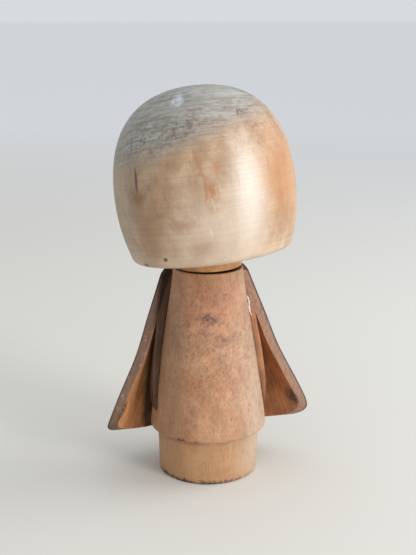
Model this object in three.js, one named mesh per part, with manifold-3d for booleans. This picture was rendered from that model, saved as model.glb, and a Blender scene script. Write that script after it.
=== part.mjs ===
// A turned wooden kokeshi doll: a body with a hem and a round base, a cap-shaped head that sits on a loose
// neck peg, and two thin curved sleeves glued and pegged to the sides of the body.
// Millimetres, +Z up. The origin is the centre of the flat underside, and the doll's face looks along -Y.
import * as THREE from 'three';
import { mergeVertices } from 'three/addons/utils/BufferGeometryUtils.js';
import Module from 'manifold-3d';

// ---- driving dimensions ------------------------------------------------------------------------------

const seamGap = 0.3;          // clearance between pieces that touch
const turnedSides = 64;       // facets round the large turned pieces
const pegSides = 24;          // facets round the pegs and their bores
const sleevePegSides = 16;
const cornerShare = 0.3;      // the middle point of a rounded corner, as a share of the rounding

// body: base, hem and long cone, turned from one blank
const hemHeight = 24.6;       // underside of the hem above the table
const hemRadius = 30.2;
const hemEdge = 0.9;          // rounding of the hem's lip
const hemOverhang = 3.8;      // the hem stands out this far past the base
const baseTaper = 0.7;        // the base is this much narrower at the table
const baseEdge = 0.9;         // rounding of the bottom edge
const bodyHeight = 109.1;
const bodyTopRadius = 17.8;
const bodyTopEdge = 0.7;
const coneFullness = 1.25;    // how far the lower half of the cone swells past straight
const coneHollow = 1.0;       // how far its upper half dips inside straight

// neck peg, loose in the body and in the head
const pegRadius = 6;
const pegInBody = 24;
const pegInHead = 27;
const pegEdge = 1;

// neck collar, the short turned piece under the head
const neckRest = 0.9;         // mean gap between the collar and the top of the body
const neckRock = 1.9;         // degrees that the loose head rocks on its peg
const neckRockAxis = 77;      // degrees from +X to the line that it rocks about
const neckRadius = 17.3;
const neckCoveRadius = 21.5;  // where the cove meets the underside of the head
const neckHeight = 7.3;       // underside of the head above the body, on the turning axis
const neckFootEdge = 0.5;     // rounding of the collar's foot
const neckStraight = 1.6;     // the cove starts this far above the foot
const neckWaist = 0.2;        // it draws in by this much before it opens
const coveRise = 1.5;         // it would reach its full width at this many neck heights

// head, turned as a cap with a flat underside
const headRadius = 45.5;
const rimRadius = 41.3;
const headBelow = 31.4;       // from the widest ring down to the underside
const headAbove = 52.2;       // from the widest ring up to the crown
const crownFullness = 0.84;   // share of headRadius over which the crown stays flat
const sideFullness = 0.455;   // share of headAbove over which the side stays upright
const lowerFullness = 0.45;   // and of headBelow
const rimFullness = 0.12;     // share of rimEdge by which the rim's corner is eased
const rimEdge = 4.2;          // rounding of the rim
const headLeanSide = 6.3;     // degrees towards +X
const headLeanFront = 4.5;    // degrees towards -Y
const headShiftSide = -2.6;   // the head's own axis misses the peg by this much at its underside

// face, cut a little below the hair
const faceWidth = 54;
const faceTop = 6;            // fringe line above the widest ring
const faceBottom = -24;
const faceCorner = 13;
const fringeArch = 4;
const faceDepth = 1.4;

// sleeves: a bell-shaped shell that leans back and out, cut by a back plane and by a curved lower edge
const sleeveWall = 5;
// width of the ledge that the hollow leaves beside the body, from the tip (0) to the shoulder (1)
const hollowLedge = [[0, -0.3], [0.14, 2.2], [0.38, 3.6], [0.62, 4.2], [1, 5.2]];
const shoulderDrop = 5.4;     // the rounded shoulder starts this far below the top of the body
const sleeveTipZ = 33.6;      // the back edge ends here
const tipCorner = 4;
const tipUnderside = 2.8;     // the corner ends this far in front of the tip
const shoulderSlope = 1.4;    // the shoulder leans in by this much before it turns over
const shoulderLip = 0.6;      // the shoulder ends this far outside the top of the body
const sleeveLowZ = 16.8;      // lowest part of the sleeve's lower edge
const sleeveLowFront = 17;    // the lower edge has levelled out this far in front of the axis
const lowEdgeRise = 4.2;      // height of the lower edge's pull point above its lowest part
const lowEdgePull = 0.26;     // and its place, as a share of sleeveLowFront
const bellCentreTop = [1, 1.5];       // out and back from the body's axis, at the shoulder
const bellCentreTip = [13.8, 17.4];   // the same at the tip
// how far the bell stands off the body's side, from the tip (0) to the shoulder (1)
const bellStandOff = [[0, 11.1], [0.14, 9.8], [0.43, 6.9], [0.71, 6.6], [1, 5.8]];
const bellSkirt = 2.7;        // further flare below the tip
const backEdgeTop = -7.4;     // y of the back edge at the shoulder
const backEdgeTip = 7;        // y of the back edge at the tip
const frontEdgeTurn = 60;     // degrees from the side to the sleeve's front edge, round the body

// sleeve pegs
const sleevePegRadius = 2.4;
const sleevePegDrop = 16;     // below the top of the body
const sleevePegTurn = 48;     // degrees from the side towards the front
const sleevePegInBody = 9;
const sleevePegInSleeve = 2.6;
const sleevePegEdge = 0.4;

// glue that was pressed out of the right sleeve's seam on to its back edge
const glueRadius = 0.5;
const glueOut = 2;            // from the body's side
const glueTopDrop = 18;
const glueBottomDrop = 29;
const glueSteps = 8;

// ---- materials ---------------------------------------------------------------------------------------

const wood = (color, roughness) => new THREE.MeshStandardMaterial({ color, roughness, metalness: 0 });
const headWood = wood(0xc9b394, 0.5);
const bodyWood = wood(0xb98f6b, 0.55);
const collarWood = wood(0xbd905f, 0.6);
const sleeveWood = wood(0x8a5c3f, 0.6);
const pegWood = wood(0xd2b287, 0.7);
const driedGlue = wood(0xe6e2da, 0.5);

// ---- solids ------------------------------------------------------------------------------------------

const wasm = await Module();
wasm.setup();

const degrees = THREE.MathUtils.degToRad;
const beyond = 90;            // longer than the doll is wide, for cutting shapes that pass right through
const past = 10;              // how far a cutting shape runs past the face that it cuts
const upright = new THREE.Matrix4().makeRotationX(Math.PI / 2);

// a closed three.js geometry as a solid, for the boolean cuts
function solidOf(geometry) {
  const bare = geometry.clone();
  bare.deleteAttribute('normal');
  bare.deleteAttribute('uv');
  const merged = mergeVertices(bare, 1e-4);
  return new wasm.Manifold(new wasm.Mesh({
    numProp: 3,
    vertProperties: new Float32Array(merged.attributes.position.array),
    triVerts: new Uint32Array(merged.index.array),
  }));
}

function pieceOf(solid, name, material) {
  const { vertProperties, triVerts } = solid.getMesh();
  const geometry = new THREE.BufferGeometry();
  geometry.setAttribute('position', new THREE.BufferAttribute(vertProperties, 3));
  geometry.setIndex(new THREE.BufferAttribute(triVerts, 1));
  geometry.computeVertexNormals();
  const piece = new THREE.Mesh(geometry, material);
  piece.name = name;
  return piece;
}

// a profile of Vector2(radius, height) that starts and ends on the axis, turned about Z
function turned(profile, sides = turnedSides) {
  return new THREE.LatheGeometry(profile, sides).applyMatrix4(upright);
}

function rod(radius, bottom, top, edge, sides = pegSides) {
  return turned([
    new THREE.Vector2(0, bottom),
    new THREE.Vector2(radius - edge, bottom),
    new THREE.Vector2(radius, bottom + edge),
    new THREE.Vector2(radius, top - edge),
    new THREE.Vector2(radius - edge, top),
    new THREE.Vector2(0, top),
  ], sides);
}

// points of a curve without its first one, so that stretches join end to end
const along = (curve, steps) => curve.getPoints(steps).slice(1);

// ---- body --------------------------------------------------------------------------------------------

const baseTopRadius = hemRadius - hemOverhang;
const baseBottomRadius = baseTopRadius - baseTaper;

// the side of the body from the hem up to the neck, moved out by the given allowance
function coneCurve(allowance = 0) {
  const hem = new THREE.Vector2(hemRadius + allowance, hemHeight + hemEdge);
  const top = new THREE.Vector2(bodyTopRadius + allowance, bodyHeight - bodyTopEdge);
  const lower = hem.clone().lerp(top, 1 / 3);
  const upper = hem.clone().lerp(top, 2 / 3);
  lower.x += coneFullness;
  upper.x -= coneHollow;
  return new THREE.CubicBezierCurve(hem, lower, upper, top);
}

// radius of the body's side at a height
function bodyRadiusAt(z) {
  const side = coneCurve().getPoints(60);
  return side.reduce((best, p) => (Math.abs(p.y - z) < Math.abs(best.y - z) ? p : best)).x;
}

const bodyProfile = [
  new THREE.Vector2(0, 0),
  new THREE.Vector2(baseBottomRadius - baseEdge, 0),
  new THREE.Vector2(baseBottomRadius - baseEdge * cornerShare, baseEdge * cornerShare),
  new THREE.Vector2(baseBottomRadius, baseEdge),
  new THREE.Vector2(baseTopRadius, hemHeight),
  new THREE.Vector2(hemRadius - hemEdge, hemHeight),
  new THREE.Vector2(hemRadius - hemEdge * cornerShare, hemHeight + hemEdge * cornerShare),
  new THREE.Vector2(hemRadius, hemHeight + hemEdge),
  ...along(coneCurve(), 12),
  new THREE.Vector2(bodyTopRadius - bodyTopEdge, bodyHeight),
  new THREE.Vector2(0, bodyHeight),
];

// the space that the sleeves keep clear of: the cone with a seam's width more, carried down past the hem
const coneClearance = coneCurve(seamGap);
const bodySpace = solidOf(turned([
  new THREE.Vector2(0, 0),
  new THREE.Vector2(hemRadius + seamGap, 0),
  new THREE.Vector2(hemRadius + seamGap, hemHeight + hemEdge),
  ...along(coneClearance, 12),
  new THREE.Vector2(bodyTopRadius + seamGap, bodyHeight + past),
  new THREE.Vector2(0, bodyHeight + past),
]));

const boreRadius = pegRadius + seamGap;
const pegBottom = bodyHeight - pegInBody;
const pegTop = bodyHeight + pegInHead;
const pegBore = solidOf(rod(boreRadius, pegBottom - seamGap, pegTop + seamGap, pegEdge));
const neckPeg = solidOf(rod(pegRadius, pegBottom, pegTop, pegEdge));

// ---- sleeve, made for the +X side and mirrored for the other -------------------------------------------

const shoulderZ = bodyHeight - shoulderDrop;
const shellHeight = shoulderZ - sleeveTipZ;
const shellBottom = sleeveLowZ - past / 2;

// outer radius of the bell from below the tip up to the shoulder, then rounded in over the shoulder
function bellOuter() {
  const stations = bellStandOff.map(([part, standOff]) => {
    const z = sleeveTipZ + part * shellHeight;
    return new THREE.Vector2(bodyRadiusAt(z) + standOff, z);
  });
  const skirt = new THREE.Vector2(stations[0].x + bellSkirt, shellBottom);
  const shoulder = stations[stations.length - 1];
  const side = new THREE.SplineCurve([skirt, ...stations]);
  const rounding = new THREE.QuadraticBezierCurve(
    shoulder,
    new THREE.Vector2(shoulder.x - shoulderSlope, bodyHeight - bodyTopEdge),
    new THREE.Vector2(bodyTopRadius + shoulderLip, bodyHeight),
  );
  return [...side.getPoints(15), ...along(rounding, 5)];
}

// a turned solid under the given wall, sheared so that its centre moves out and back on the way down
const outPerRise = (bellCentreTop[0] - bellCentreTip[0]) / shellHeight;
const backPerRise = (bellCentreTop[1] - bellCentreTip[1]) / shellHeight;
function bellSolid(wall) {
  const bell = turned([
    new THREE.Vector2(0, wall[0].y),
    ...wall,
    new THREE.Vector2(0, wall[wall.length - 1].y),
  ]);
  bell.translate(0, 0, -shoulderZ);
  bell.applyMatrix4(new THREE.Matrix4().makeShear(0, 0, 0, 0, outPerRise, backPerRise));
  bell.translate(bellCentreTop[0], bellCentreTop[1], shoulderZ);
  return solidOf(bell);
}

// the ledge is what stands between the hollow and the body
const ledgeSpace = solidOf(turned([
  new THREE.Vector2(0, shellBottom),
  new THREE.Vector2(hemRadius, shellBottom),
  ...hollowLedge.map(([part, width]) => {
    const z = sleeveTipZ + part * shellHeight;
    return new THREE.Vector2(bodyRadiusAt(z) + seamGap + width, z);
  }),
  new THREE.Vector2(bodyTopRadius + hollowLedge[hollowLedge.length - 1][1], bodyHeight + past),
  new THREE.Vector2(0, bodyHeight + past),
]));
const outerWall = bellOuter();
const innerWall = outerWall.map((p) => new THREE.Vector2(p.x - sleeveWall, p.y));
const hollow = bellSolid(innerWall).subtract(ledgeSpace);

// what the sleeve keeps of the bell, seen from the side: y across, z up
const backRun = (backEdgeTop - backEdgeTip) / shellHeight;
const backEdgeAt = (z) => backEdgeTip + backRun * (z - sleeveTipZ);
const sideView = new THREE.Shape();
const farFront = -beyond;
sideView.moveTo(backEdgeAt(bodyHeight + past), bodyHeight + past);
sideView.lineTo(backEdgeAt(sleeveTipZ + tipCorner), sleeveTipZ + tipCorner);
sideView.quadraticCurveTo(backEdgeTip, sleeveTipZ, backEdgeTip - tipUnderside, sleeveTipZ - tipCorner);
sideView.quadraticCurveTo(
  -sleeveLowFront * lowEdgePull, sleeveLowZ + lowEdgeRise, -sleeveLowFront, sleeveLowZ);
sideView.lineTo(farFront, sleeveLowZ);
sideView.lineTo(farFront, bodyHeight + past);
sideView.closePath();
const sideCut = new THREE.ExtrudeGeometry(sideView, {
  depth: beyond,
  bevelEnabled: false,
  curveSegments: 10,
});
// from the drawing's x, y and depth to the doll's y, z and x
sideCut.applyMatrix4(new THREE.Matrix4().makeBasis(
  new THREE.Vector3(0, 1, 0), new THREE.Vector3(0, 0, 1), new THREE.Vector3(1, 0, 0)));

// and seen from above, so that it ends at its front edge
const frontTurn = degrees(-frontEdgeTurn);
const planView = new THREE.Shape([
  new THREE.Vector2(0, 0),
  new THREE.Vector2(beyond * Math.cos(frontTurn), beyond * Math.sin(frontTurn)),
  new THREE.Vector2(beyond, -beyond),
  new THREE.Vector2(beyond, beyond),
  new THREE.Vector2(0, beyond),
]);
const planCut = new THREE.ExtrudeGeometry(planView, { depth: bodyHeight + past, bevelEnabled: false });

// the sleeve's peg lies level, where the shell meets the body's side
const sleevePegZ = bodyHeight - sleevePegDrop;
function sleevePegSolid(clearance) {
  const side = bodyRadiusAt(sleevePegZ);
  const shape = rod(
    sleevePegRadius + clearance,
    side - sleevePegInBody - clearance,
    side + sleevePegInSleeve + clearance,
    sleevePegEdge,
    sleevePegSides,
  );
  shape.rotateY(Math.PI / 2);
  shape.rotateZ(degrees(-sleevePegTurn));
  shape.translate(0, 0, sleevePegZ);
  return solidOf(shape);
}
const sleevePeg = sleevePegSolid(0);
const sleevePegBore = sleevePegSolid(seamGap);

const leftSleeve = bellSolid(outerWall)
  .subtract(hollow)
  .intersect(solidOf(sideCut))
  .intersect(solidOf(planCut))
  .subtract(bodySpace)
  .subtract(sleevePegBore);

const mirrored = (solid) => solid.mirror([1, 0, 0]);

const body = solidOf(turned(bodyProfile))
  .subtract(pegBore)
  .subtract(sleevePegBore)
  .subtract(mirrored(sleevePegBore));

// ---- head and neck collar ------------------------------------------------------------------------------

// outline of the head above and below its widest ring, made smaller all round by the given inset
function headProfile(inset = 0) {
  const widest = new THREE.Vector2(headRadius - inset, 0);
  const rimStart = new THREE.Vector2(rimRadius - inset, -headBelow + rimEdge);
  const rimEnd = new THREE.Vector2(rimRadius - inset - rimEdge, -headBelow + inset);
  const below = new THREE.QuadraticBezierCurve(
    rimStart, new THREE.Vector2(headRadius - inset, -headBelow * lowerFullness), widest);
  const above = new THREE.CubicBezierCurve(
    widest,
    new THREE.Vector2(headRadius - inset, headAbove * sideFullness),
    new THREE.Vector2(headRadius * crownFullness, headAbove - inset),
    new THREE.Vector2(0, headAbove - inset),
  );
  const rim = new THREE.QuadraticBezierCurve(
    rimEnd, new THREE.Vector2(rimRadius - inset - rimEdge * rimFullness, -headBelow + inset), rimStart);
  return [
    new THREE.Vector2(0, -headBelow + inset),
    ...rim.getPoints(4),
    ...along(below, 8),
    ...along(above, 18),
  ];
}

// the face is a rounded window with an arched fringe, cut to an even depth
function faceWindow() {
  const half = faceWidth / 2;
  const outline = new THREE.Shape();
  outline.moveTo(-half, faceTop);
  outline.quadraticCurveTo(0, faceTop + 2 * fringeArch, half, faceTop);
  outline.lineTo(half, faceBottom + faceCorner);
  outline.quadraticCurveTo(half, faceBottom, half - faceCorner, faceBottom);
  outline.lineTo(-half + faceCorner, faceBottom);
  outline.quadraticCurveTo(-half, faceBottom, -half, faceBottom + faceCorner);
  outline.closePath();
  const window = new THREE.ExtrudeGeometry(outline, {
    depth: beyond,
    bevelEnabled: false,
    curveSegments: 8,
  });
  window.applyMatrix4(upright);
  return solidOf(window).subtract(solidOf(turned(headProfile(faceDepth))));
}

const headPlace = new THREE.Matrix4()
  .makeTranslation(headShiftSide, 0, bodyHeight + neckHeight)
  .multiply(new THREE.Matrix4().makeRotationY(degrees(headLeanSide)))
  .multiply(new THREE.Matrix4().makeRotationX(degrees(headLeanFront)))
  .multiply(new THREE.Matrix4().makeTranslation(0, 0, headBelow));

const placed = (solid, matrix) => solid.transform(matrix.toArray());

const turnedHead = placed(solidOf(turned(headProfile())), headPlace);
const head = turnedHead
  .subtract(placed(faceWindow(), headPlace))
  .subtract(pegBore);

// the collar stands square on the peg but for the rock of the loose head, and is cut off under the head
const rockLine = new THREE.Vector3(Math.cos(degrees(neckRockAxis)), Math.sin(degrees(neckRockAxis)), 0);
const neckPlace = new THREE.Matrix4()
  .makeTranslation(0, 0, bodyHeight + neckRest)
  .multiply(new THREE.Matrix4().makeRotationAxis(rockLine, degrees(neckRock)));
const coveTop = neckHeight * coveRise;
const neckCove = new THREE.QuadraticBezierCurve(
  new THREE.Vector2(neckRadius, neckStraight),
  new THREE.Vector2(neckRadius - neckWaist, coveTop / 2),
  new THREE.Vector2(neckCoveRadius, coveTop),
);
const neckProfile = [
  new THREE.Vector2(0, 0),
  new THREE.Vector2(neckRadius - neckFootEdge, 0),
  new THREE.Vector2(neckRadius, neckFootEdge),
  ...neckCove.getPoints(8),
  new THREE.Vector2(0, coveTop),
];
const headSpace = placed(solidOf(turned([
  new THREE.Vector2(0, -headBelow - seamGap),
  new THREE.Vector2(headRadius + past, -headBelow - seamGap),
  new THREE.Vector2(headRadius + past, headAbove),
  new THREE.Vector2(0, headAbove),
])), headPlace);
const neckCollar = placed(solidOf(turned(neckProfile)), neckPlace)
  .subtract(headSpace)
  .subtract(pegBore);

// ---- glue ----------------------------------------------------------------------------------------------

// the bead lies on the right sleeve's back edge, beside the body
const gluePath = new THREE.CatmullRomCurve3([0, 1 / 3, 2 / 3, 1].map((part) => {
  const z = bodyHeight - THREE.MathUtils.lerp(glueTopDrop, glueBottomDrop, part);
  const y = backEdgeAt(z) + seamGap + glueRadius;
  const reach = bodyRadiusAt(z) + glueOut;
  return new THREE.Vector3(-Math.sqrt(reach ** 2 - y ** 2), y, z);
}));
const glueSection = new THREE.Shape().absarc(0, 0, glueRadius, 0, 2 * Math.PI);
const glueBead = new THREE.ExtrudeGeometry(glueSection, {
  extrudePath: gluePath,
  steps: glueSteps,
  curveSegments: glueSteps,
  bevelEnabled: false,
});

// ---- assembly --------------------------------------------------------------------------------------------

const doll = new THREE.Group();
doll.name = 'kokeshi_doll';

doll.add(pieceOf(body, 'body', bodyWood));
doll.add(pieceOf(leftSleeve, 'left_sleeve', sleeveWood));
doll.add(pieceOf(mirrored(leftSleeve), 'right_sleeve', sleeveWood));
doll.add(pieceOf(sleevePeg, 'left_sleeve_peg', pegWood));
doll.add(pieceOf(mirrored(sleevePeg), 'right_sleeve_peg', pegWood));
doll.add(pieceOf(neckPeg, 'neck_peg', pegWood));

const headGroup = new THREE.Group();
headGroup.name = 'head_and_collar';
headGroup.add(pieceOf(head, 'head', headWood));
headGroup.add(pieceOf(neckCollar, 'neck_collar', collarWood));
doll.add(headGroup);

const glue = new THREE.Mesh(glueBead, driedGlue);
glue.name = 'right_sleeve_glue';
doll.add(glue);

export default doll;
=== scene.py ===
# A turned kokeshi doll in bare wood: body, loose head on a neck peg, and two carved sleeves
from math import asin, atan2, cos, hypot, pi, radians, sin, sqrt

import bmesh
import bpy
from mathutils import Matrix, Vector


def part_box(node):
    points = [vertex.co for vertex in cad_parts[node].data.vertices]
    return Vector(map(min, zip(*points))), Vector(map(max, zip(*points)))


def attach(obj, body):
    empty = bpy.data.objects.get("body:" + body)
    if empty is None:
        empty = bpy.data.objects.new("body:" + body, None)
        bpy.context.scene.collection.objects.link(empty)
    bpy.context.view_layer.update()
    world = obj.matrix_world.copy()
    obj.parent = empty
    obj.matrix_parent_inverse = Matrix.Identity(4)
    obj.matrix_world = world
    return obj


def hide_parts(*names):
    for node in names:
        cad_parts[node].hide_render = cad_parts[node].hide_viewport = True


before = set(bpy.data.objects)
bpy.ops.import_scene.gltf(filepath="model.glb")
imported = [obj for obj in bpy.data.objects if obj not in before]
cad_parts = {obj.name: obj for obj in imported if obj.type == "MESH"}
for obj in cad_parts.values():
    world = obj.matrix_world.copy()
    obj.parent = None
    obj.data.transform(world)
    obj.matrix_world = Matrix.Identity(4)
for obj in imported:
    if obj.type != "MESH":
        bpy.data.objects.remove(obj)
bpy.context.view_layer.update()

print("frame loaded:", ", ".join(sorted(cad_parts)))

mm = 0.001  # the shapes below are drawn in millimetres and brought to metres as they are finished
sameSpot = 0.001  # points closer together than this are one point
fitGap = 0.3  # between the neck peg and its bores


def boxInMm(node):
    low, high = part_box(node)
    return low / mm, high / mm


# shapes


def curvePoint(handles, share):
    # a place on the curve that starts and ends on the outer handles and is pulled by the ones between
    level = [Vector(handle) for handle in handles]
    while len(level) > 1:
        level = [a.lerp(b, share) for a, b in zip(level, level[1:])]
    return level[0]


def curvePoints(handles, steps):
    return [curvePoint(handles, step / steps) for step in range(steps + 1)]


def turnOnLathe(outline, sides):
    # outline is (radius, height), and starts and ends on the axis or closes on itself
    bm = bmesh.new()
    verts = [bm.verts.new((radius, 0, height)) for radius, height in outline]
    edges = [bm.edges.new(pair) for pair in zip(verts, verts[1:])]
    bmesh.ops.spin(bm, geom=verts + edges, cent=(0, 0, 0), axis=(0, 0, 1), angle=2 * pi,
                   steps=sides, use_merge=True)
    bmesh.ops.remove_doubles(bm, verts=bm.verts, dist=sameSpot)
    bmesh.ops.recalc_face_normals(bm, faces=bm.faces)
    return bm


def looseObject(bm, name):
    mesh = bpy.data.meshes.new(name)
    bmesh.ops.scale(bm, vec=(mm, mm, mm), verts=bm.verts)
    bm.to_mesh(mesh)
    bm.free()
    piece = bpy.data.objects.new(name, mesh)
    bpy.context.scene.collection.objects.link(piece)
    return piece


def finishPiece(piece, material, body, standsFor, sharpAt=35):
    piece.data.materials.clear()
    piece.data.materials.append(material)
    piece.data.shade_smooth()
    piece.data.set_sharp_from_angle(angle=radians(sharpAt))
    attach(piece, body)
    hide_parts(*standsFor)
    print(f"{piece.name}: {len(piece.data.polygons)} faces")


def combine(piece, tool, operation):
    cut = piece.modifiers.new("cut", "BOOLEAN")
    cut.operation = operation
    cut.solver = "EXACT"
    cut.object = tool
    bpy.context.view_layer.update()
    finished = bpy.data.meshes.new_from_object(piece.evaluated_get(bpy.context.evaluated_depsgraph_get()))
    piece.modifiers.remove(cut)
    piece.data = finished
    bpy.data.objects.remove(tool)


# materials


def linearColor(hexColor):
    channels = [int(hexColor[i:i + 2], 16) / 255 for i in (0, 2, 4)]
    return [c / 12.92 if c <= 0.04045 else ((c + 0.055) / 1.055) ** 2.4 for c in channels] + [1]


def addNode(tree, kind, inputs=None, **settings):
    # inputs are sockets to link from or plain values, by the input's name or number
    node = tree.nodes.new("ShaderNode" + kind)
    for name, value in settings.items():
        setattr(node, name, value)
    for name, value in (inputs or {}).items():
        if isinstance(value, bpy.types.NodeSocket):
            tree.links.new(value, node.inputs[name])
        else:
            node.inputs[name].default_value = value
    return node


def paintOver(tree, under, hexColor, mask, strength):
    # lays a colour over another where the mask says, as thickly as the strength says
    amount = addNode(tree, "Math", {0: mask, 1: strength}, operation="MULTIPLY", use_clamp=True)
    mixed = addNode(tree, "Mix", {
        0: amount.outputs[0], 6: under, 7: linearColor(hexColor),
    }, data_type="RGBA")
    return mixed.outputs[2]


def coatMask(tree, coords, ragged, coat):
    # 1 where a coat of colour lies and 0 elsewhere; a lens-shaped place, a grain and an attribute
    # each narrow it down
    mask = None
    if "at" in coat:
        local = addNode(tree, "Mapping", {
            "Vector": ragged if coat.get("ragged") else coords,
            "Location": [p * mm for p in coat["at"]],
            "Rotation": [radians(a) for a in coat.get("turn", (0, 0, 0))],
            "Scale": [s * mm for s in coat["size"]],
        }, vector_type="TEXTURE").outputs[0]
        if "bend" in coat:
            split = addNode(tree, "SeparateXYZ", {0: local})
            bent = addNode(tree, "Math", {0: split.outputs[0], 1: split.outputs[0]}, operation="MULTIPLY")
            lifted = addNode(tree, "Math", {0: bent.outputs[0], 1: coat["bend"], 2: split.outputs[2]},
                             operation="MULTIPLY_ADD")
            local = addNode(tree, "CombineXYZ", {0: split.outputs[0], 1: split.outputs[1],
                                                 2: lifted.outputs[0]}).outputs[0]
        away = addNode(tree, "VectorMath", {0: local}, operation="LENGTH")
        soft = coat.get("soft", 0.5)
        mask = addNode(tree, "MapRange", {
            "Value": away.outputs["Value"], "From Min": 1 + soft, "From Max": 1 - soft,
        }, interpolation_type="SMOOTHSTEP").outputs[0]
    if "grain" in coat:
        size, low, high = coat["grain"]
        local = addNode(tree, "Mapping", {
            "Vector": coords,
            "Rotation": [radians(a) for a in coat.get("grainTurn", (0, 0, 0))],
            "Scale": [s * mm for s in size],
        }, vector_type="TEXTURE").outputs[0]
        noise = addNode(tree, "TexNoise", {"Vector": local, "Scale": 1.0, "Detail": 4.0, "Roughness": 0.72})
        grain = addNode(tree, "MapRange", {"Value": noise.outputs[0], "From Min": low, "From Max": high},
                        interpolation_type="SMOOTHSTEP").outputs[0]
        mask = grain if mask is None else addNode(tree, "Math", {0: mask, 1: grain},
                                                  operation="MULTIPLY").outputs[0]
    if "attribute" in coat:
        name, low, high = coat["attribute"]
        value = addNode(tree, "Attribute", attribute_name=name).outputs["Fac"]
        place = addNode(tree, "MapRange", {"Value": value, "From Min": low, "From Max": high}).outputs[0]
        mask = place if mask is None else addNode(tree, "Math", {0: mask, 1: place},
                                                  operation="MULTIPLY").outputs[0]
    return mask


def agedWood(name, look, coats):
    material = bpy.data.materials.new(name)
    material.use_nodes = True
    tree = material.node_tree
    shader = tree.nodes["Principled BSDF"]
    where = addNode(tree, "TexCoord").outputs["Object"]
    inPiece = addNode(tree, "Mapping", {
        "Vector": where,
        "Location": [p * mm for p in look["centre"]],
        "Rotation": [radians(a) for a in look["lean"]],
    }, vector_type="TEXTURE").outputs[0]

    # broad patches of tone
    patches = addNode(tree, "Mapping", {"Vector": inPiece, "Scale": [s * mm for s in look["patch"]]},
                      vector_type="TEXTURE").outputs[0]
    tone = addNode(tree, "TexNoise", {"Vector": patches, "Scale": 1.0, "Detail": 4.0, "Roughness": 0.6})
    toned = addNode(tree, "MapRange", {"Value": tone.outputs[0], "From Min": 0.36, "From Max": 0.64},
                    interpolation_type="SMOOTHSTEP").outputs[0]
    color = addNode(tree, "Mix", {
        0: toned, 6: linearColor(look["deep"]), 7: linearColor(look["pale"]),
    }, data_type="RGBA").outputs[2]

    # growth rings about a pith that lies outside the piece, so that the sides show flames;
    # a wave repeats every pi / 10 units, which the scale turns into the ring spacing
    pith = addNode(tree, "Mapping", {
        "Vector": inPiece,
        "Location": [p * mm for p in look["pith"]],
        "Rotation": [radians(a) for a in look["pithLean"]],
    }, vector_type="TEXTURE").outputs[0]
    rings = addNode(tree, "TexWave", {
        "Vector": pith, "Scale": 2 * pi / (20 * look["ringSpacing"] * mm),
        "Distortion": look["ringWander"], "Detail": 2.0, "Detail Scale": 30.0, "Detail Roughness": 0.55,
    }, wave_type="RINGS", rings_direction="Z", wave_profile="SAW").outputs[1]
    lateWood = addNode(tree, "MapRange", {"Value": rings, "From Min": 0.45, "From Max": 1.0},
                       interpolation_type="SMOOTHSTEP").outputs[0]
    color = paintOver(tree, color, look["late"], lateWood, look["lateStrength"])

    # ragged coats follow a disturbed copy of the coordinates, up to 4.5 mm off either way
    shake = addNode(tree, "TexNoise", {
        "Vector": inPiece, "Scale": 1 / (3 * mm), "Detail": 5.0, "Roughness": 0.7,
    }).outputs[1]
    shaken = addNode(tree, "VectorMath", {0: shake, 1: (-0.5, -0.5, -0.5)}, operation="ADD").outputs[0]
    ragged = addNode(tree, "VectorMath", {0: shaken, 1: (9 * mm, 9 * mm, 9 * mm), 2: inPiece},
                     operation="MULTIPLY_ADD").outputs[0]
    height = rough = None
    for coat in coats:
        mask = coatMask(tree, inPiece, ragged, coat)
        color = paintOver(tree, color, coat["color"], mask, coat["strength"])
        if "rough" in coat:
            start = look["roughness"] if rough is None else rough
            rough = addNode(tree, "Math", {0: mask, 1: coat["rough"], 2: start},
                            operation="MULTIPLY_ADD").outputs[0]
        if "relief" in coat:
            start = 0.0 if height is None else height
            height = addNode(tree, "Math", {0: mask, 1: coat["relief"], 2: start},
                             operation="MULTIPLY_ADD").outputs[0]

    tree.links.new(color, shader.inputs["Base Color"])
    tree.links.new(rough, shader.inputs["Roughness"])
    shader.inputs["IOR"].default_value = 1.5
    bump = addNode(tree, "Bump", {"Height": height, "Strength": 1.0, "Distance": mm})
    tree.links.new(bump.outputs[0], shader.inputs["Normal"])
    return material


# body

bodyHigh = boxInMm("body")[1]
pegLow, pegHigh = boxInMm("neck_peg")
bodyShape = {
    "hemRadius": bodyHigh.x,
    "top": bodyHigh.z,
    "hemHeight": 24.6,
    "hemEdge": 0.9,
    "baseBottomRadius": 25.7,
    "baseTopRadius": 26.4,
    "baseEdge": 0.9,
    "topRadius": 17.8,
    "topEdge": 0.7,
    "fullness": 1.25,    # how far the lower third of the side swells out
    "hollow": 1.0,       # and the upper third draws in
    "boreRadius": pegHigh.x + fitGap,
    "boreBottom": pegLow.z - fitGap,
    "boreEdge": 0.4,
    "sides": 160,
}


def sideRadius(z):
    # the body's side from the hem to the neck
    s = bodyShape
    low, high = s["hemHeight"] + s["hemEdge"], s["top"] - s["topEdge"]
    t = min(1, max(0, (z - low) / (high - low)))
    straight = s["hemRadius"] + (s["topRadius"] - s["hemRadius"]) * t
    return straight + 3 * t * (1 - t) * ((1 - t) * s["fullness"] - t * s["hollow"])


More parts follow.
